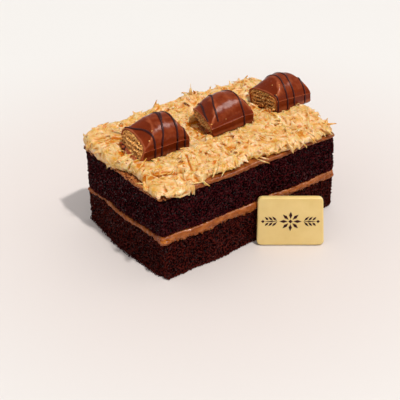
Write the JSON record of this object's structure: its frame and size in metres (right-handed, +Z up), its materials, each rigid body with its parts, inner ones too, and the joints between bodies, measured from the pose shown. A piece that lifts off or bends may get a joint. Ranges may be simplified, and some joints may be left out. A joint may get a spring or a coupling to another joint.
{
  "type": "kunafa cake",
  "caption": "Slab of chocolate layer cake with a caramel filling, a shredded kunafa topping, chocolate-coated wafer bars in a row and a leaning white chocolate plaque.",
  "frame": {"origin": "centre of the cake's flat underside", "axes": "+X along the slab's length, towards the end that the right-hand bar overhangs; +Y from the face with the plaque towards the back; +Z up"},
  "size_m": [0.1229, 0.099, 0.0676],
  "materials": {
    "sponge": "moist, dark, open crumb",
    "filling": "soft, glossy caramel spread",
    "spread": "soft, glossy caramel spread",
    "kunafa": "shreds of pastry in pale glossy cream",
    "chocolate": "smooth milk chocolate with darker piped stripes",
    "wafer": "dry, baked",
    "cream": "pale nut cream",
    "plaque": "smooth white chocolate"
  },
  "bodies": {
    "root": {"sponge_lower": "sponge", "sponge_upper": "sponge", "filling": "filling", "spread": "spread", "kunafa_topping": "kunafa", "bar_left_coat": "chocolate", "bar_middle_coat": "chocolate", "bar_right_coat": "chocolate", "bar_left_wafer": "wafer", "bar_middle_wafer": "wafer", "bar_right_wafer": "wafer", "bar_left_cream": "cream", "bar_middle_cream": "cream", "bar_right_cream": "cream", "plaque": "plaque"}
  },
  "joints": []
}
